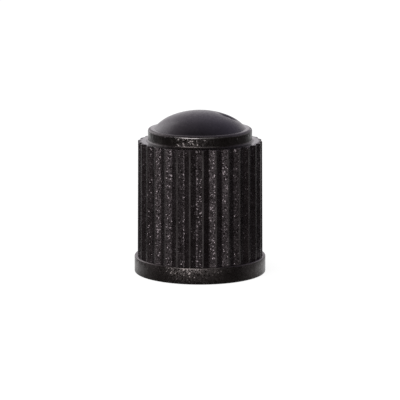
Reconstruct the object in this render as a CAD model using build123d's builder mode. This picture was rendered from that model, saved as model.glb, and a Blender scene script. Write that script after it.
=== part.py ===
"""Plastic dust cap for a car tyre valve: a flanged, serrated body with a stepped, domed top and a blind bore.

Millimetres, +Z up. The origin is the centre of the mouth, on the rim that the cap stands on.
"""
import os
from math import asin, cos, pi, radians, sin, tan

from build123d import *

# Heights, from the rim of the mouth up
flange_height = 1.35
grip_height = 9.25
collar_height = 1.0
dome_height = 1.4

# Bore for the valve's 8V1 thread, and the wall around it
bore_diameter = 7.8
wall_thickness = 0.88
mouth_chamfer = 0.4
shoulder_wall = 1.2

# Pocket above the bore, where the valve core's pin ends
pocket_diameter = 5.4
roof_wall = 1.65

# Grip serrations
ridge_count = 30
groove_depth = 0.27
ridge_radius = 0.13
root_radius = 0.22
ridge_bevel = 0.12
draft_angle = 0.4

# Dome: a flat crown, and a tighter haunch from it down to the ledge
dome_crown_radius = 6.2
dome_haunch_width = 1.25

# Steps in the outline
flange_overhang = 0.2
shoulder_width = 0.9
ledge_width = 0.5
rim_radius = 0.2
flange_edge_radius = 0.1

# Levels and radii that follow from the sizes above
shoulder_level = flange_height + grip_height
ledge_level = shoulder_level + collar_height
apex_level = ledge_level + dome_height
bore_level = shoulder_level - shoulder_wall
pocket_level = apex_level - roof_wall

bore_radius = bore_diameter / 2
pocket_radius = pocket_diameter / 2
body_radius = bore_radius + wall_thickness + groove_depth
flange_radius = body_radius + flange_overhang
collar_radius = body_radius - shoulder_width
dome_base_radius = collar_radius - ledge_width

# Edge of the dome's crown, where the haunch starts
crown_edge_radius = dome_base_radius - dome_haunch_width
crown_edge_angle = asin(crown_edge_radius / dome_crown_radius)
crown_edge_level = apex_level - dome_crown_radius * (1 - cos(crown_edge_angle))

# The body narrows upwards by the mould's draft
draft_inset = shoulder_level * tan(radians(draft_angle))
shoulder_crest_radius = body_radius - draft_inset


def serration_points(crest_radius):
    """Corners of one serrated section: a ridge, then a groove, all the way round."""
    points = []
    for index in range(2 * ridge_count):
        radius = crest_radius if index % 2 == 0 else crest_radius - groove_depth
        angle = index * pi / ridge_count
        points.append((radius * cos(angle), radius * sin(angle)))
    return points


with BuildPart() as valve_cap:
    # Serrated grip, lofted from the mouth to the shoulder
    with BuildSketch() as mouth_section:
        with BuildLine():
            Polyline(*serration_points(body_radius), close=True)
        make_face()
        fillet(mouth_section.vertices().group_by(SortBy.DISTANCE)[-1], ridge_radius)
        fillet(mouth_section.vertices().group_by(SortBy.DISTANCE)[0], root_radius)
    with BuildSketch(Plane.XY.offset(shoulder_level)) as shoulder_section:
        with BuildLine():
            Polyline(*serration_points(shoulder_crest_radius), close=True)
        make_face()
        fillet(shoulder_section.vertices().group_by(SortBy.DISTANCE)[-1], ridge_radius)
        fillet(shoulder_section.vertices().group_by(SortBy.DISTANCE)[0], root_radius)
    loft(ruled=True)

    # Bevelled tops of the ridges
    with BuildSketch(Plane.XZ) as bevel_section:
        with BuildLine():
            Polyline(
                (shoulder_crest_radius - ridge_bevel, shoulder_level),
                (shoulder_crest_radius + ridge_bevel, shoulder_level),
                (shoulder_crest_radius + ridge_bevel, shoulder_level - 2 * ridge_bevel),
                close=True,
            )
        make_face()
    revolve(axis=Axis.Z, mode=Mode.SUBTRACT)

    # Flange, collar and dome
    with BuildSketch(Plane.XZ) as outline:
        with BuildLine():
            Polyline(
                (0, apex_level),
                (0, 0),
                (flange_radius, 0),
                (flange_radius, flange_height),
                (collar_radius, flange_height),
                (collar_radius, ledge_level),
                (dome_base_radius, ledge_level),
            )
            crown = RadiusArc((0, apex_level), (crown_edge_radius, crown_edge_level), dome_crown_radius)
            TangentArc(crown @ 1, (dome_base_radius, ledge_level), tangent=crown % 1)
        make_face()
    revolve(axis=Axis.Z)

    # Rounded edges of the flange, and the rounder rim of the collar
    rings = valve_cap.edges().filter_by(GeomType.CIRCLE)
    flange_edges = rings.filter_by_position(Axis.Z, 0, flange_height).group_by(SortBy.RADIUS)[-1]
    rim_edge = rings.filter_by_position(Axis.Z, ledge_level, ledge_level).sort_by(SortBy.RADIUS)[-1]
    fillet(flange_edges, flange_edge_radius)
    fillet(rim_edge, rim_radius)

    # Blind bore with a lead-in at the mouth, and the pocket above it
    with BuildSketch(Plane.XZ) as hollow:
        with BuildLine():
            Polyline(
                (0, pocket_level),
                (0, 0),
                (bore_radius + mouth_chamfer, 0),
                (bore_radius, mouth_chamfer),
                (bore_radius, bore_level),
                (pocket_radius, bore_level),
                (pocket_radius, pocket_level),
                close=True,
            )
        make_face()
    revolve(axis=Axis.Z, mode=Mode.SUBTRACT)

valve_cap.part.label = "valve_cap"
os.makedirs("parts", exist_ok=True)
export_step(valve_cap.part, "parts/valve_cap.step")
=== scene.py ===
"""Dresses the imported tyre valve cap: one black plastic moulding with a serrated grip and a domed top.

Sizes of the cap are in millimetres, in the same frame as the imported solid. Its mesh is scaled to metres at
the end.
"""

import logging
from collections.abc import Callable, Iterable
from dataclasses import dataclass, field
from enum import Enum
from math import asin, atan2, cos, floor, hypot, pi, radians, sin, tan
from typing import Any

import bmesh
import bpy
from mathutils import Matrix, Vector

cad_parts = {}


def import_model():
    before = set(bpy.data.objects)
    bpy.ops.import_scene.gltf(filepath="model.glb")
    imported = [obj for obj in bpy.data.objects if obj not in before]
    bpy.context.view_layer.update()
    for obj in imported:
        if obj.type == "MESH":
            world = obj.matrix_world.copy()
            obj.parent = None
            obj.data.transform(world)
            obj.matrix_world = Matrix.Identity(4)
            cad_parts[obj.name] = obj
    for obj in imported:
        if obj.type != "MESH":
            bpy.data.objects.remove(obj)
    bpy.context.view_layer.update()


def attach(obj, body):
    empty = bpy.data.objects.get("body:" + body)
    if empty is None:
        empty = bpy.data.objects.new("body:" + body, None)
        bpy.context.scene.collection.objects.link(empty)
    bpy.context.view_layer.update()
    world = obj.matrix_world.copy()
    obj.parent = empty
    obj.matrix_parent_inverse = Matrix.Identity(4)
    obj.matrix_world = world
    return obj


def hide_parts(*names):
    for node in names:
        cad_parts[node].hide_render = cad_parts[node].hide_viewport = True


MM = 0.001
HALF_TURN = 180.0
NOISE_MEAN = 0.5
WHITE = (1.0, 1.0, 1.0)
LOG = logging.getLogger("valve_cap")

# A Mix node's sockets for colours: its factor and its two colours, and its result
MIX_INPUTS = (0, 6, 7)
MIX_OUTPUT = 2

Socket = bpy.types.NodeSocket
Triple = tuple[float, float, float]
Colour = Triple | Socket


class Zone(Enum):
    """Parts of the moulding's skin that have a finish of their own, with their material slots."""

    GRIP = 0
    FLANGE = 1
    COLLAR = 2
    # The crests' finish has a lighter colour, partly rubbed wear and partly a painted highlight.
    CREST = 3
    RIM = 4
    STEP = 5
    DOME = 6
    BORE = 7


class Value:
    """A number in a shader graph, on which Python's arithmetic adds Math nodes."""

    def __init__(self, graph: "Graph", socket: Socket) -> None:
        """Keeps the graph and the socket that gives the number."""
        self.graph = graph
        self.socket = socket

    def __add__(self, other: "Value | float") -> "Value":
        """Adds a number."""
        return self.graph.math("ADD", self, other)

    def __sub__(self, other: "Value | float") -> "Value":
        """Takes a number away."""
        return self.graph.math("SUBTRACT", self, other)

    def __rsub__(self, other: float) -> "Value":
        """Takes this from a number."""
        return self.graph.math("SUBTRACT", other, self)

    def __mul__(self, other: "Value | float") -> "Value":
        """Multiplies by a number."""
        return self.graph.math("MULTIPLY", self, other)

    def __truediv__(self, other: "Value | float") -> "Value":
        """Divides by a number."""
        return self.graph.math("DIVIDE", self, other)

    __radd__ = __add__
    __rmul__ = __mul__

    def above(self, low: float, high: float) -> "Value":
        """Rises smoothly from 0 at low to 1 at high.

        Args:
            low: Number at which the result leaves 0.
            high: Number at which the result reaches 1. It may be the smaller one, for a falling step.

        Returns:
            The step.
        """
        settings = {"interpolation_type": "SMOOTHSTEP"}
        sockets = {"Value": self, "From Min": min(low, high), "From Max": max(low, high)}
        step = self.graph.out(self.graph.node("ShaderNodeMapRange", settings, sockets), "Result")
        return 1 - step if low > high else step


@dataclass
class Graph:
    """The node tree of one material or of the world."""

    tree: bpy.types.NodeTree

    def node(self, kind: str, settings: dict[str, Any], sockets: dict[str | int, Any]) -> bpy.types.Node:
        """Adds a node.

        Args:
            kind: Blender's name for the node's type.
            settings: The node's own properties, which are set first. "stops" holds a ramp's places and
                colours.
            sockets: Values or links, by input name or number.

        Returns:
            The new node.
        """
        node = self.tree.nodes.new(kind)
        for name, setting in settings.items():
            if name == "stops":
                self.set_stops(node.color_ramp, setting)
            else:
                setattr(node, name, setting)
        for name, value in sockets.items():
            socket = node.inputs[name]
            if isinstance(value, Value):
                self.tree.links.new(value.socket, socket)
            elif isinstance(value, Socket):
                self.tree.links.new(value, socket)
            else:
                socket.default_value = value
        return node

    @staticmethod
    def set_stops(ramp: bpy.types.ColorRamp, stops: list[tuple[float, Triple]]) -> None:
        """Sets a ramp's places and colours.

        Args:
            ramp: The ramp of a new Color Ramp node.
            stops: Place and colour of each stop, from 0 to 1.
        """
        while len(ramp.elements) < len(stops):
            ramp.elements.new(1.0)
        for element, (place, colour) in zip(ramp.elements, stops):
            element.position = place
            element.color = (*colour, 1.0)

    def out(self, node: bpy.types.Node, name: str | int) -> Value:
        """Gives a node's output as a number."""
        return Value(self, node.outputs[name])

    def math(self, operation: str, *operands: "Value | float") -> Value:
        """Adds a Math node on one or more numbers.

        Args:
            operation: The node's operation.
            operands: Numbers or sockets, in order.

        Returns:
            The result.
        """
        node = self.node("ShaderNodeMath", {"operation": operation}, dict(enumerate(operands)))
        return self.out(node, "Value")

    def vector(self, operation: str, *operands: Socket | Triple) -> Socket:
        """Adds a Vector Math node.

        Args:
            operation: The node's operation.
            operands: Vectors or sockets, in order.

        Returns:
            The resulting vector's socket.
        """
        node = self.node("ShaderNodeVectorMath", {"operation": operation}, dict(enumerate(operands)))
        return node.outputs["Vector"]

    def colour_mix(self, factor: Value, low: Colour, high: Colour) -> Socket:
        """Mixes two colours.

        Args:
            factor: 0 for the first colour and 1 for the second.
            low: First colour, or its socket.
            high: Second colour, or its socket.

        Returns:
            The mixed colour's socket.
        """
        ends = [end if isinstance(end, Socket) else (*end, 1.0) for end in (low, high)]
        sockets = dict(zip(MIX_INPUTS, (factor, *ends)))
        return self.node("ShaderNodeMix", {"data_type": "RGBA"}, sockets).outputs[MIX_OUTPUT]


def toward(azimuth: float, elevation: float) -> Vector:
    """Gives the direction from the cap to a viewer.

    Args:
        azimuth: Angle about +Z from -Y, in degrees, positive towards +X.
        elevation: Angle over the floor, in degrees.

    Returns:
        A vector of length 1.
    """
    around = radians(azimuth)
    over = radians(elevation)
    return Vector((sin(around) * cos(over), -cos(around) * cos(over), sin(over)))


def surface_graph(name: str) -> tuple[bpy.types.Material, Graph, bpy.types.Node]:
    """Starts a node material with a Principled shader on its output.

    Args:
        name: The material's name.

    Returns:
        The material, its graph and its shader.
    """
    material = bpy.data.materials.new(name)
    material.use_nodes = True
    graph = Graph(material.node_tree)
    graph.tree.nodes.clear()
    shader = graph.node("ShaderNodeBsdfPrincipled", {}, {})
    graph.node("ShaderNodeOutputMaterial", {}, {"Surface": shader.outputs["BSDF"]})
    return material, graph, shader


@dataclass(frozen=True)
class MouldedPlastic:
    """Near-black plastic with the grain that a spark-eroded mould leaves on it.

    Lengths are in millimetres and angles in degrees, and the tilts are slopes. The wear may gather on the
    side at worn_azimuth, out to worn_core. From worn_reach on, calm_share of the grain is left, and the
    roughness is calm_dulling higher.
    """

    name: str
    colour: Triple
    worn_colour: Triple
    roughness: float
    roughness_spread: float
    facet_size: float
    facet_share: float
    facet_tilt: float
    facet_roughness: float
    ground_tilt: float
    wave_size: float
    wave_depth: float
    mottle_size: float
    gloss_tint: Triple
    specular: float = 0.5
    calm_share: float = 1.0
    calm_dulling: float = 0.0
    worn_azimuth: float = -10.0
    worn_core: float = 11.0
    worn_reach: float = 25.0
    mottle_span: tuple[float, float] = (0.35, 0.7)
    mottle_detail: float = 3.0
    wave_detail: float = 2.0
    noise_roughness: float = 0.6

    def material(self) -> bpy.types.Material:
        """Makes the node material.

        Returns:
            The material, which reads Object coordinates.
        """
        material, graph, shader = surface_graph(self.name)
        place = graph.node("ShaderNodeTexCoord", {}, {}).outputs["Object"]
        mottle = self.noise(graph, place, self.mottle_size, self.mottle_detail)
        height = self.noise(graph, place, self.wave_size, self.wave_detail) * self.wave_depth
        cell_scale = 1 / (self.facet_size * MM)
        cells = graph.node("ShaderNodeTexVoronoi", {}, {"Vector": place, "Scale": cell_scale})
        chance = graph.node("ShaderNodeTexWhiteNoise", {}, {"Vector": cells.outputs["Position"]})
        share = self.facet_share
        ground = self.roughness + (mottle - NOISE_MEAN) * self.roughness_spread
        if self.calm_share < 1 or self.calm_dulling > 0:
            calm = 1 - self.worn_side(graph, place)
            share = share * (1 - (1 - self.calm_share) * calm)
            ground = ground + self.calm_dulling * calm
        facet = graph.math("LESS_THAN", graph.out(chance, "Value"), share)
        colour = graph.colour_mix(mottle.above(*self.mottle_span), self.colour, self.worn_colour)
        roughness = ground + facet * (self.facet_roughness - ground)
        waved = graph.node("ShaderNodeBump", {}, {"Height": height, "Distance": MM})
        # Each cell's random colour, less its mean, leans that cell's normal by up to its tilt
        lean = graph.vector("SUBTRACT", cells.outputs["Color"], (NOISE_MEAN, NOISE_MEAN, NOISE_MEAN))
        tilt = (self.ground_tilt + facet * (self.facet_tilt - self.ground_tilt)) / NOISE_MEAN
        sockets = {"Vector": lean, "Scale": tilt}
        leaning = graph.node("ShaderNodeVectorMath", {"operation": "SCALE"}, sockets)
        grained = graph.vector("ADD", waved.outputs["Normal"], leaning.outputs["Vector"])
        graph.tree.links.new(colour, shader.inputs["Base Color"])
        graph.tree.links.new(roughness.socket, shader.inputs["Roughness"])
        graph.tree.links.new(graph.vector("NORMALIZE", grained), shader.inputs["Normal"])
        shader.inputs["Specular IOR Level"].default_value = self.specular
        shader.inputs["Specular Tint"].default_value = (*self.gloss_tint, 1.0)
        return material

    def worn_side(self, graph: Graph, place: Socket) -> Value:
        """Finds the side of the moulding that has more wear.

        Args:
            graph: The material's graph.
            place: Coordinates in metres.

        Returns:
            1 in the middle of that side and 0 away from it.
        """
        outward = graph.vector("NORMALIZE", graph.vector("MULTIPLY", place, (1.0, 1.0, 0.0)))
        sockets = {0: outward, 1: toward(self.worn_azimuth, 0)}
        facing = graph.node("ShaderNodeVectorMath", {"operation": "DOT_PRODUCT"}, sockets)
        edge, core = (cos(radians(angle)) for angle in (self.worn_reach, self.worn_core))
        return graph.out(facing, "Value").above(edge, core)

    def noise(self, graph: Graph, place: Socket, size: float, detail: float) -> Value:
        """Adds a noise pattern.

        Args:
            graph: The material's graph.
            place: Coordinates in metres.
            size: Width of one grain, in millimetres.
            detail: Octaves of finer noise.

        Returns:
            The noise, about 0.5 in the mean.
        """
        sockets = {
            "Vector": place,
            "Scale": 1 / (size * MM),
            "Detail": detail,
            "Roughness": self.noise_roughness,
        }
        return graph.out(graph.node("ShaderNodeTexNoise", {}, sockets), 0)


GRAINED = MouldedPlastic(
    name="grained_black_plastic",
    colour=(0.003, 0.002, 0.002),
    worn_colour=(0.0058, 0.0043, 0.0044),
    roughness=0.35,
    roughness_spread=0.08,
    facet_size=0.075,
    facet_share=0.3,
    facet_tilt=0.22,
    facet_roughness=0.21,
    ground_tilt=0.06,
    wave_size=0.4,
    wave_depth=0.01,
    mottle_size=1.2,
    gloss_tint=(1.0, 0.86, 0.91),
)
SCUFFED = MouldedPlastic(
    name="scuffed_black_plastic",
    colour=(0.0028, 0.0021, 0.0019),
    worn_colour=(0.0055, 0.0043, 0.004),
    roughness=0.32,
    roughness_spread=0.1,
    facet_size=0.095,
    facet_share=0.4,
    facet_tilt=0.17,
    facet_roughness=0.21,
    ground_tilt=0.05,
    wave_size=0.35,
    wave_depth=0.015,
    mottle_size=0.9,
    gloss_tint=(1.0, 0.88, 0.86),
    specular=0.64,
    calm_share=0.2,
    worn_azimuth=-12.0,
    worn_reach=27.0,
)
BURNISHED = MouldedPlastic(
    name="burnished_black_plastic",
    colour=(0.0025, 0.0019, 0.0017),
    worn_colour=(0.0045, 0.0036, 0.0032),
    roughness=0.29,
    roughness_spread=0.08,
    facet_size=0.095,
    facet_share=0.32,
    facet_tilt=0.25,
    facet_roughness=0.16,
    ground_tilt=0.02,
    wave_size=0.4,
    wave_depth=0.024,
    mottle_size=0.9,
    gloss_tint=(1.0, 0.89, 0.88),
    specular=0.36,
    calm_share=0.12,
)
# Crest finish: its colour, several times lighter than the rest, is partly rubbed wear and partly a painted
# highlight along the ridges' crests.
RUBBED_AND_HIGHLIT = MouldedPlastic(
    name="rubbed_and_highlit_black_plastic",
    colour=(0.018, 0.0155, 0.0155),
    worn_colour=(0.033, 0.029, 0.0295),
    roughness=0.17,
    roughness_spread=0.08,
    facet_size=0.1,
    facet_share=0.2,
    facet_tilt=0.06,
    facet_roughness=0.22,
    ground_tilt=0.02,
    wave_size=0.4,
    wave_depth=0.006,
    mottle_size=1.0,
    gloss_tint=(1.0, 0.92, 0.93),
)
POLISHED = MouldedPlastic(
    name="polished_black_plastic",
    colour=(0.003, 0.0024, 0.0024),
    worn_colour=(0.006, 0.0052, 0.0053),
    roughness=0.13,
    roughness_spread=0.06,
    facet_size=0.1,
    facet_share=0.15,
    facet_tilt=0.05,
    facet_roughness=0.18,
    ground_tilt=0.02,
    wave_size=0.4,
    wave_depth=0.006,
    mottle_size=1.0,
    gloss_tint=(1.0, 0.92, 0.93),
    specular=0.8,
    calm_dulling=0.3,
    worn_azimuth=-6.0,
    worn_core=5.0,
    worn_reach=14.0,
)
SMOOTH = MouldedPlastic(
    name="smooth_black_plastic",
    colour=(0.003, 0.0025, 0.0026),
    worn_colour=(0.0056, 0.0048, 0.005),
    roughness=0.17,
    roughness_spread=0.06,
    facet_size=0.1,
    facet_share=0.15,
    facet_tilt=0.05,
    facet_roughness=0.2,
    ground_tilt=0.02,
    wave_size=0.5,
    wave_depth=0.005,
    mottle_size=1.2,
    gloss_tint=(1.0, 0.93, 0.96),
)
SATIN = MouldedPlastic(
    name="satin_black_plastic",
    colour=(0.0022, 0.0018, 0.0023),
    worn_colour=(0.004, 0.0034, 0.0042),
    roughness=0.29,
    roughness_spread=0.1,
    facet_size=0.1,
    facet_share=0.15,
    facet_tilt=0.06,
    facet_roughness=0.28,
    ground_tilt=0.02,
    wave_size=0.9,
    wave_depth=0.006,
    mottle_size=1.5,
    gloss_tint=(0.97, 0.92, 1.0),
)
BORE = MouldedPlastic(
    name="bore_black_plastic",
    colour=(0.006, 0.0055, 0.006),
    worn_colour=(0.01, 0.0095, 0.01),
    roughness=0.42,
    roughness_spread=0.12,
    facet_size=0.15,
    facet_share=0.15,
    facet_tilt=0.12,
    facet_roughness=0.3,
    ground_tilt=0.03,
    wave_size=0.8,
    wave_depth=0.006,
    mottle_size=1.5,
    gloss_tint=(1.0, 0.9, 0.92),
)
FINISHES: dict[Zone, MouldedPlastic] = {
    Zone.GRIP: GRAINED,
    Zone.FLANGE: SCUFFED,
    Zone.COLLAR: BURNISHED,
    # The crests get the lighter colour: partly rubbed wear, partly a painted highlight.
    Zone.CREST: RUBBED_AND_HIGHLIT,
    Zone.RIM: POLISHED,
    Zone.STEP: SMOOTH,
    Zone.DOME: SATIN,
    Zone.BORE: BORE,
}


class Skin:
    """Grows a closed skin, ring by ring, about the Z axis."""

    def __init__(self, mesh: bmesh.types.BMesh, ring: Iterable[bmesh.types.BMVert]) -> None:
        """Starts at a ring of vertices that the mesh already has."""
        self.mesh = mesh
        self.ring = list(ring)

    def edges(self) -> list[bmesh.types.BMEdge]:
        """Gives the edges of the ring that the skin has reached."""
        ring = set(self.ring)
        met = [edge for vert in self.ring for edge in vert.link_edges if edge.other_vert(vert) in ring]
        return list(dict.fromkeys(met))

    def grow(self, place: Callable[[Vector], Vector], zone: Zone) -> None:
        """Extrudes the ring and moves its copy, which becomes the ring.

        Args:
            place: Gives a vertex of the new ring its place, from the old one's.
            zone: The finish of the new faces.
        """
        grown = bmesh.ops.extrude_edge_only(self.mesh, edges=self.edges())["geom"]
        self.ring = [item for item in grown if isinstance(item, bmesh.types.BMVert)]
        for vert in self.ring:
            vert.co = place(vert.co)
            for face in vert.link_faces:
                face.material_index = zone.value

    def circle(self, radius: float, height: float, zone: Zone) -> list[bmesh.types.BMEdge]:
        """Grows to a circle.

        Args:
            radius: The circle's radius, in millimetres.
            height: Its height over the mouth.
            zone: The finish of the new faces.

        Returns:
            The circle's edges.
        """
        def onto_circle(spot: Vector) -> Vector:
            """Moves a point out or in along its own direction."""
            reach = radius / hypot(spot.x, spot.y)
            return Vector((spot.x * reach, spot.y * reach, height))

        self.grow(onto_circle, zone)
        return self.edges()

    def close(self, height: float, zone: Zone) -> None:
        """Closes the skin at a point on the axis.

        Args:
            height: The point's height over the mouth.
            zone: The finish of the last faces.
        """
        self.grow(lambda spot: Vector((spot.x, spot.y, height)), zone)
        bmesh.ops.pointmerge(self.mesh, verts=self.ring, merge_co=Vector((0, 0, height)))


@dataclass(frozen=True)
class Dent:
    """A shallow knock in the dome, as seen from above. Lengths are in millimetres."""

    place: tuple[float, float]
    reach: tuple[float, float]
    depth: float

    def pressed(self, spot: Vector) -> Vector:
        """Lowers a point of the dome.

        Args:
            spot: The point on the whole dome.

        Returns:
            Its place in the dent, or its own place where it lies beside the dent.
        """
        sideways = (spot.x - self.place[0]) / self.reach[0]
        back = (spot.y - self.place[1]) / self.reach[1]
        nearness = max(0.0, 1 - hypot(sideways, back))
        return spot - Vector((0, 0, self.depth * nearness * nearness * (3 - 2 * nearness)))


@dataclass
class ValveCap:
    """The one-piece moulded cap.

    Lengths are in millimetres and angles in degrees. The thread's half width and flank are in half pitches,
    and its lead-in and run-out in pitches.
    """

    # Heights, from the rim of the mouth up
    flange_height: float = 1.35
    grip_height: float = 9.25
    collar_height: float = 1.0
    dome_height: float = 1.4

    # Bore, the pocket above it and the walls around them
    bore_radius: float = 3.9
    wall_thickness: float = 0.88
    mouth_chamfer: float = 0.4
    shoulder_wall: float = 1.2
    pocket_radius: float = 2.7
    roof_wall: float = 1.65

    # Grip serrations
    ridge_count: int = 30
    groove_depth: float = 0.27
    ridge_radius: float = 0.13
    root_radius: float = 0.22
    ridge_top_radius: float = 0.12
    draft_angle: float = 0.4

    # Steps in the outline, and their rounded edges
    flange_overhang: float = 0.2
    shoulder_width: float = 0.9
    ledge_width: float = 0.5
    rim_radius: float = 0.2
    foot_radius: float = 0.15
    flange_edge_radius: float = 0.1

    # Dome: a flat crown, a tighter haunch from it down to the ledge, and a dent
    dome_crown_radius: float = 6.2
    dome_haunch_width: float = 1.25
    dent: Dent = Dent(place=(2.2, 0.3), reach=(1.1, 0.95), depth=0.4)

    # Thread
    thread_pitch: float = 25.4 / 32
    thread_height: float = 0.4
    thread_half_width: float = 0.8
    thread_flank: float = 0.62
    thread_lead_in: float = 0.1
    thread_run_out: float = 0.3

    # Rings, segments and shading of the mesh
    thread_rows_per_pitch: int = 12
    ridge_top_shares: tuple[float, ...] = (0.03, 0.08, 0.15, 0.25, 0.4)
    edge_margin: float = 0.05
    crown_rings: int = 12
    haunch_rings: int = 10
    corner_segments: int = 4
    sharp_angle: float = 35.0
    mesh: bmesh.types.BMesh = field(init=False, repr=False)

    def __post_init__(self) -> None:
        """Works out the levels and radii that follow from the sizes."""
        self.shoulder_level = self.flange_height + self.grip_height
        self.ledge_level = self.shoulder_level + self.collar_height
        self.apex_level = self.ledge_level + self.dome_height
        self.bore_level = self.shoulder_level - self.shoulder_wall
        self.body_radius = self.bore_radius + self.wall_thickness + self.groove_depth
        self.flange_radius = self.body_radius + self.flange_overhang
        self.collar_radius = self.body_radius - self.shoulder_width
        self.dome_base_radius = self.collar_radius - self.ledge_width
        self.pocket_level = self.apex_level - self.roof_wall

    def crest_radius(self, height: float) -> float:
        """Gives the ridges' radius at a height, narrowed by the mould's draft."""
        return self.body_radius - height * tan(radians(self.draft_angle))

    def build(self) -> bpy.types.Object:
        """Models the whole cap as one closed mesh.

        Returns:
            The cap's object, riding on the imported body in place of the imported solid.
        """
        self.mesh = bmesh.new()
        foot, top = self.build_grip()
        self.build_top(Skin(self.mesh, top))
        self.build_flange_and_bore(Skin(self.mesh, foot))
        bmesh.ops.recalc_face_normals(self.mesh, faces=self.mesh.faces)
        bmesh.ops.scale(self.mesh, vec=Vector((MM, MM, MM)), verts=self.mesh.verts)
        return self.finish_object()

    def build_grip(self) -> tuple[list[bmesh.types.BMVert], list[bmesh.types.BMVert]]:
        """Makes the serrated wall with rounded crests and roots.

        Returns:
            The vertices of its lower and upper ends.
        """
        corners = 2 * self.ridge_count
        low = self.crest_radius(self.flange_height)
        high = self.crest_radius(self.shoulder_level)
        made = bmesh.ops.create_circle(self.mesh, segments=corners, radius=low)["verts"]
        half_pitch = pi / self.ridge_count
        root_corners = [vert for vert in made if round(atan2(vert.co.y, vert.co.x) / half_pitch) % 2]
        inset = 1 - self.groove_depth / low
        bmesh.ops.scale(self.mesh, vec=Vector((inset, inset, 1)), verts=root_corners)
        bmesh.ops.translate(self.mesh, vec=Vector((0, 0, self.flange_height)), verts=made)
        wall = Skin(self.mesh, made)

        def drafted(spot: Vector) -> Vector:
            """Moves a point of the foot up to the shoulder, in by the draft."""
            reach = 1 - (low - high) / hypot(spot.x, spot.y)
            return Vector((spot.x * reach, spot.y * reach, self.shoulder_level))

        wall.grow(drafted, Zone.GRIP)
        middle = self.flange_height + self.grip_height / 2
        upright = [edge for edge in self.mesh.edges if self.crosses(edge, middle)]
        ridges = [edge for edge in upright if hypot(*edge.verts[0].co.xy) > low - self.groove_depth / 2]
        roots = [edge for edge in upright if edge not in ridges]
        groove_radius = low - self.groove_depth
        flank = Vector((low - groove_radius * cos(half_pitch), groove_radius * sin(half_pitch)))
        ridge_turn = atan2(flank.x, flank.y)
        root_turn = ridge_turn - half_pitch
        # The crests' rounding takes the lighter crest colour, partly rubbed wear and partly a painted
        # highlight.
        self.round_edges(ridges, self.ridge_radius * tan(ridge_turn), Zone.CREST)
        self.round_edges(roots, self.root_radius * tan(root_turn), Zone.GRIP)
        foot = [vert for vert in self.mesh.verts if vert.co.z < middle]
        top = [vert for vert in self.mesh.verts if vert.co.z > middle]
        return foot, top

    @staticmethod
    def crosses(edge: bmesh.types.BMEdge, level: float) -> bool:
        """Tells whether an edge runs from below a level to above it."""
        low, high = sorted(vert.co.z for vert in edge.verts)
        return low < level < high

    def build_top(self, skin: Skin) -> None:
        """Models the rounded tops of the ridges, the shoulder, the collar and the dome.

        Args:
            skin: The skin at the upper end of the grip.
        """
        rounding_start = self.crest_radius(self.shoulder_level) - self.ridge_top_radius
        rounding_end = rounding_start + self.ridge_top_radius

        def rounded_level(radius: float) -> float:
            """Gives the height of the ridges' rounded tops at a radius."""
            drop = max(0.0, radius - rounding_start)
            return self.shoulder_level - self.ridge_top_radius + (self.ridge_top_radius**2 - drop**2) ** 0.5

        def lowered(spot: Vector) -> Vector:
            """Drops a point of the grip's upper end onto the rounded tops."""
            radius = min(hypot(spot.x, spot.y), rounding_end)
            return Vector((spot.x, spot.y, rounded_level(radius)))

        for vert in skin.ring:
            vert.co = lowered(vert.co)
        inner = rounding_start - self.groove_depth
        for share in self.ridge_top_shares:
            def inwards(spot: Vector, share: float = share) -> Vector:
                """Moves a point towards the collar, along the rounded tops."""
                radius = hypot(spot.x, spot.y)
                new = radius + (inner - radius) * share
                return Vector((spot.x * new / radius, spot.y * new / radius, rounded_level(new)))

            skin.grow(inwards, Zone.GRIP)
        foot = skin.circle(self.collar_radius, self.shoulder_level, Zone.STEP)
        # Two rings, just clear of the rounded edges, keep the wall between them upright in its shading
        low_ring = self.shoulder_level + self.foot_radius + self.edge_margin
        high_ring = self.ledge_level - self.rim_radius - self.edge_margin
        skin.circle(self.collar_radius, low_ring, Zone.COLLAR)
        skin.circle(self.collar_radius, high_ring, Zone.COLLAR)
        rim = skin.circle(self.collar_radius, self.ledge_level, Zone.COLLAR)
        skin.circle(self.dome_base_radius, self.ledge_level, Zone.STEP)
        self.build_dome(skin)
        self.round_edges(rim, self.rim_radius, Zone.RIM)
        self.round_edges(foot, self.foot_radius, Zone.COLLAR)

    def build_dome(self, skin: Skin) -> None:
        """Models the dome: a tight haunch over the ledge, a flat crown and the dent in them.

        Args:
            skin: The skin at the dome's foot.
        """
        foot = Vector((self.dome_base_radius, self.ledge_level))
        spread = asin((self.dome_base_radius - self.dome_haunch_width) / self.dome_crown_radius)
        crown_centre = Vector((0, self.apex_level - self.dome_crown_radius))
        outward = Vector((sin(spread), cos(spread)))
        crown_edge = crown_centre + self.dome_crown_radius * outward
        drop = foot - crown_edge
        haunch_radius = -drop.length_squared / (2 * drop.dot(outward))
        haunch_centre = crown_edge - haunch_radius * outward
        to_foot = foot - haunch_centre
        foot_angle = atan2(to_foot.x, to_foot.y)
        for index in range(1, self.haunch_rings + 1):
            angle = foot_angle + (spread - foot_angle) * index / self.haunch_rings
            spot = haunch_centre + haunch_radius * Vector((sin(angle), cos(angle)))
            skin.circle(spot.x, spot.y, Zone.DOME)
        for index in range(1, self.crown_rings):
            angle = spread * (1 - index / self.crown_rings)
            spot = crown_centre + self.dome_crown_radius * Vector((sin(angle), cos(angle)))
            skin.circle(spot.x, spot.y, Zone.DOME)
        skin.close(self.apex_level, Zone.DOME)
        for vert in self.mesh.verts:
            if vert.co.z > self.ledge_level:
                vert.co = self.dent.pressed(vert.co)

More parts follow.
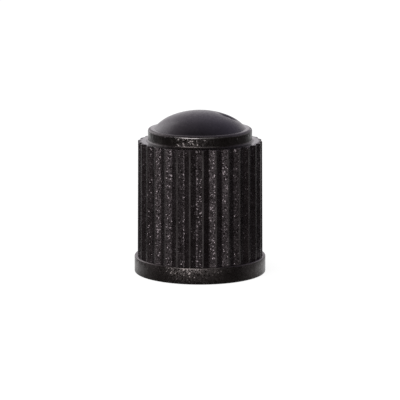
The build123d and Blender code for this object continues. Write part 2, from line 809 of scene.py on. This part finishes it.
    def build_flange_and_bore(self, skin: Skin) -> None:
        """Models the flange, the mouth, the threaded bore and the pocket above it.

        Args:
            skin: The skin at the lower end of the grip.
        """
        upper = skin.circle(self.flange_radius, self.flange_height, Zone.FLANGE)
        lower = skin.circle(self.flange_radius, 0, Zone.FLANGE)
        skin.circle(self.bore_radius + self.mouth_chamfer, 0, Zone.FLANGE)
        skin.circle(self.bore_radius, self.mouth_chamfer, Zone.BORE)
        self.build_thread(skin)
        skin.circle(self.pocket_radius, self.bore_level, Zone.BORE)
        skin.circle(self.pocket_radius, self.pocket_level, Zone.BORE)
        skin.close(self.pocket_level, Zone.BORE)
        self.round_edges(upper + lower, self.flange_edge_radius, Zone.FLANGE)

    def build_thread(self, skin: Skin) -> None:
        """Models the bore's wall with its right-hand thread.

        Args:
            skin: The skin at the lower end of the bore's wall.
        """
        length = self.bore_level - self.mouth_chamfer
        rows = floor(length / self.thread_pitch * self.thread_rows_per_pitch)
        for row in range(1, rows + 1):
            height = self.mouth_chamfer + length * row / rows

            def threaded(spot: Vector, height: float = height) -> Vector:
                """Moves a point to the thread's surface at this row's height."""
                angle = atan2(spot.y, spot.x)
                radius = self.bore_radius - self.thread_depth(angle, height)
                return Vector((radius * cos(angle), radius * sin(angle), height))

            skin.grow(threaded, Zone.BORE)

    def thread_depth(self, angle: float, height: float) -> float:
        """Gives how far the thread stands in from the bore's wall.

        Args:
            angle: Direction about the axis, in radians.
            height: Height over the mouth.

        Returns:
            The depth, which fades out near both ends of the bore.
        """
        turn = height / self.thread_pitch - angle / (2 * pi)
        from_crest = abs(2 * (turn - floor(turn)) - 1)
        ridge = min(1.0, max(0.0, (self.thread_half_width - from_crest) / self.thread_flank))
        start = (height - self.mouth_chamfer) / self.thread_pitch
        end = (self.bore_level - height) / self.thread_pitch
        fade = min(1.0, max(0.0, start - self.thread_lead_in), max(0.0, end - self.thread_run_out))
        return self.thread_height * ridge * fade

    def round_edges(self, edges: list[bmesh.types.BMEdge], offset: float, zone: Zone) -> None:
        """Rounds edges of the moulding.

        Args:
            edges: The edges.
            offset: Width that the rounding takes of each face beside them.
            zone: The finish of the rounding.
        """
        rounded = bmesh.ops.bevel(
            self.mesh,
            geom=edges,
            offset=offset,
            segments=self.corner_segments,
            profile=0.5,
            affect="EDGES",
            material=-1,
        )
        for face in rounded["faces"]:
            face.material_index = zone.value

    def finish_object(self) -> bpy.types.Object:
        """Turns the mesh into the finished, dressed piece.

        Returns:
            The cap's object.
        """
        data = bpy.data.meshes.new("valve_cap_moulding")
        self.mesh.to_mesh(data)
        self.mesh.free()
        for zone in Zone:
            data.materials.append(FINISHES[zone].material())
        data.shade_smooth()
        data.set_sharp_from_angle(angle=radians(self.sharp_angle))
        piece = bpy.data.objects.new("valve_cap_moulding", data)
        bpy.context.scene.collection.objects.link(piece)
        normals = piece.modifiers.new("flat_flanks", "WEIGHTED_NORMAL")
        normals.keep_sharp = True
        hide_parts("valve_cap")
        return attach(piece, "root")


@dataclass(frozen=True)
class Softbox:
    """A soft lamp that faces the cap. Lengths are in metres and angles in degrees."""

    name: str
    azimuth: float
    elevation: float
    width: float
    height: float
    power: float
    distance: float = 0.45

    def build(self, target: Vector, front: float) -> None:
        """Places the lamp.

        Args:
            target: The point that it faces.
            front: Azimuth of the camera, from which the lamp's own is counted.
        """
        light = bpy.data.lights.new(self.name, "AREA")
        light.shape = "RECTANGLE"
        light.size = self.width
        light.size_y = self.height
        light.energy = self.power
        lamp = bpy.data.objects.new(self.name, light)
        lamp.location = target + self.distance * toward(front + self.azimuth, self.elevation)
        lamp.rotation_euler = (target - lamp.location).to_track_quat("-Z", "Y").to_euler()
        lamp.visible_camera = False
        bpy.context.scene.collection.objects.link(lamp)


@dataclass
class Studio:
    """A pale floor, soft lamps, a white surround and the camera.

    Lengths are in metres, apart from the lens's and the sensor's, in millimetres. Angles are in degrees.
    """

    # Camera
    azimuth: float = 3.3
    elevation: float = 10.75
    distance: float = 0.195
    aim_height: float = 0.00577
    focal_length: float = 219.5
    sensor_width: float = 36.0
    clip_start: float = 0.01

    # Floor, to the camera and in the cap's gloss
    floor_size: float = 4.0
    floor_drop: float = 0.00002
    floor_roughness: float = 0.9
    floor_colour: Triple = (0.25, 0.25, 0.25)
    # The floor's darker colour in the cap's gloss is painted shade in its reflections.
    floor_in_gloss: Triple = (0.04, 0.04, 0.04)
    floor_lift: float = 0.85

    # Glow of the floor in the cap's gloss: close to it, far off and behind it, and more to the left
    glow_near: float = 0.92
    glow_far: float = 0.15
    glow_behind: float = 0.85
    glow_slant: float = 0.4
    glow_front: float = -0.0055
    glow_back: float = 0.002
    glow_near_reach: tuple[float, float] = (0.013, 0.008)
    glow_far_reach: tuple[float, float] = (0.035, 0.06)
    glow_wedge: tuple[float, float] = (0.45, 0.97)

    # Soft light from all round, more of it from the sides
    ambient: float = 0.2
    ambient_sides: float = 1.7

    # Backdrop in the cap's gloss: its tints, and its level at angles from the horizon behind over the top
    foot_tint: Triple = (1.0, 0.955, 1.0)
    left_tint: Triple = (1.0, 0.9, 0.98)
    right_tint: Triple = (0.83, 0.76, 1.0)
    tint_side: tuple[float, float] = (-0.7, 0.7)
    tint_rise: tuple[float, float] = (10, 45)
    backdrop_slant: float = 0.26
    backdrop_spread: float = 0.25
    backdrop_levels: tuple[tuple[float, float], ...] = (
        (0, 1.0),
        (15, 1.0),
        (28, 0.78),
        (42, 0.66),
        (60, 0.57),
        (75, 0.46),
        (90, 0.36),
        (105, 0.12),
        (125, 0.03),
    )
    lamps: tuple[Softbox, ...] = (
        Softbox("key_front_left", azimuth=-26, elevation=13, width=0.34, height=0.16, power=1.75),
        Softbox("fill_front_right", azimuth=11, elevation=18, width=0.36, height=0.28, power=0.5),
        Softbox("rim_back_left", azimuth=-133, elevation=27, width=0.33, height=0.33, power=0.33),
    )

    def build(self) -> None:
        """Sets up the whole stage."""
        target = Vector((0, 0, self.aim_height))
        self.build_camera(target)
        self.build_floor()
        self.build_world()
        for lamp in self.lamps:
            lamp.build(target, self.azimuth)
        bpy.context.scene.view_settings.view_transform = "Standard"

    def build_camera(self, target: Vector) -> None:
        """Places the camera at the photograph's viewing angle.

        Args:
            target: The point at the picture's centre.
        """
        lens = bpy.data.cameras.new("camera")
        lens.lens = self.focal_length
        lens.sensor_width = self.sensor_width
        lens.clip_start = self.clip_start
        camera = bpy.data.objects.new("camera", lens)
        camera.location = target + self.distance * toward(self.azimuth, self.elevation)
        camera.rotation_euler = (target - camera.location).to_track_quat("-Z", "Y").to_euler()
        bpy.context.scene.collection.objects.link(camera)
        bpy.context.scene.camera = camera

    def build_floor(self) -> None:
        """Lays the floor, which shows white to the camera and keeps the cap's shadow."""
        mesh = bmesh.new()
        bmesh.ops.create_grid(mesh, x_segments=1, y_segments=1, size=self.floor_size / 2)
        bmesh.ops.translate(mesh, vec=Vector((0, 0, -self.floor_drop)), verts=mesh.verts)
        data = bpy.data.meshes.new("floor")
        mesh.to_mesh(data)
        mesh.free()
        material, graph, shader = surface_graph("pale_floor")
        path = graph.node("ShaderNodeLightPath", {}, {})
        place = graph.node("ShaderNodeTexCoord", {}, {}).outputs["Object"]
        length = graph.node("ShaderNodeVectorMath", {"operation": "LENGTH"}, {"Vector": place})
        away = graph.out(length, "Value")
        spot = graph.node("ShaderNodeSeparateXYZ", {}, {"Vector": place})
        behind = graph.out(spot, "Y").above(self.glow_front, self.glow_back)
        slant = 1 - self.glow_slant * graph.out(spot, "X") / away
        near = away.above(*self.glow_near_reach) * self.glow_near
        far = away.above(*self.glow_far_reach) * self.glow_far
        wedge = (graph.out(spot, "Y") / away).above(*self.glow_wedge) * self.glow_behind
        glow = (near + far * slant) * behind + wedge * slant
        direct = graph.out(path, "Is Camera Ray") + graph.out(path, "Is Transmission Ray")
        glossy = graph.out(path, "Is Glossy Ray")
        # In the cap's gloss the floor takes a much darker colour than to the camera, a painted shade in the
        # cap's reflections, and glows in places, a painted reflection of light.
        seen = direct * self.floor_lift + glossy * glow
        colour = graph.colour_mix(glossy, self.floor_colour, self.floor_in_gloss)
        graph.tree.links.new(colour, shader.inputs["Base Color"])
        shader.inputs["Roughness"].default_value = self.floor_roughness
        shader.inputs["Specular IOR Level"].default_value = 0.0
        shader.inputs["Emission Strength"].default_value = 1.0
        graph.tree.links.new(seen.socket, shader.inputs["Emission Color"])
        data.materials.append(material)
        floor_piece = bpy.data.objects.new("floor", data)
        bpy.context.scene.collection.objects.link(floor_piece)

    def build_world(self) -> None:
        """Surrounds the stage: white to the camera, and a white backdrop behind the cap in its gloss."""
        world = bpy.data.worlds.new("surround")
        world.use_nodes = True
        graph = Graph(world.node_tree)
        graph.tree.nodes.clear()
        direction = graph.node("ShaderNodeTexCoord", {}, {}).outputs["Generated"]
        parts = graph.node("ShaderNodeSeparateXYZ", {}, {"Vector": direction})
        sideways = graph.out(parts, "X")
        spread = graph.math("ABSOLUTE", sideways) * self.backdrop_spread
        over = graph.math("ARCTAN2", graph.out(parts, "Z"), graph.out(parts, "Y") + spread) / pi
        stops = [(angle / HALF_TURN, (level, level, level)) for angle, level in self.backdrop_levels]
        ramp = graph.node("ShaderNodeValToRGB", {"stops": stops}, {"Fac": over})
        path = graph.node("ShaderNodeLightPath", {}, {})
        direct = graph.out(path, "Is Camera Ray") + graph.out(path, "Is Transmission Ray")
        slant = 1 - sideways * self.backdrop_slant
        glossy = graph.out(path, "Is Glossy Ray") * graph.out(ramp, "Color") * slant
        ambient = self.ambient + sideways * sideways * self.ambient_sides
        diffuse = graph.out(path, "Is Diffuse Ray") * ambient
        risen = over.above(*(angle / HALF_TURN for angle in self.tint_rise))
        sides = graph.colour_mix(sideways.above(*self.tint_side), self.left_tint, self.right_tint)
        backdrop = graph.colour_mix(risen, self.foot_tint, sides)
        tint = graph.colour_mix(graph.out(path, "Is Glossy Ray"), WHITE, backdrop)
        strength = direct + glossy + diffuse
        light = graph.node("ShaderNodeBackground", {}, {"Color": tint, "Strength": strength})
        graph.node("ShaderNodeOutputWorld", {}, {"Surface": light.outputs["Background"]})
        bpy.context.scene.world = world


def main() -> None:
    """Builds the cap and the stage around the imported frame."""
    logging.basicConfig(level=logging.INFO, format="%(message)s")
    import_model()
    cap = ValveCap()
    piece = cap.build()
    LOG.info("%s: %d faces, %.2f mm tall", piece.name, len(piece.data.polygons), cap.apex_level)
    studio = Studio()
    studio.build()
    LOG.info("studio: %d lamps, camera at %.1f degrees", len(studio.lamps), studio.elevation)


if __name__ == "__main__":
    main()
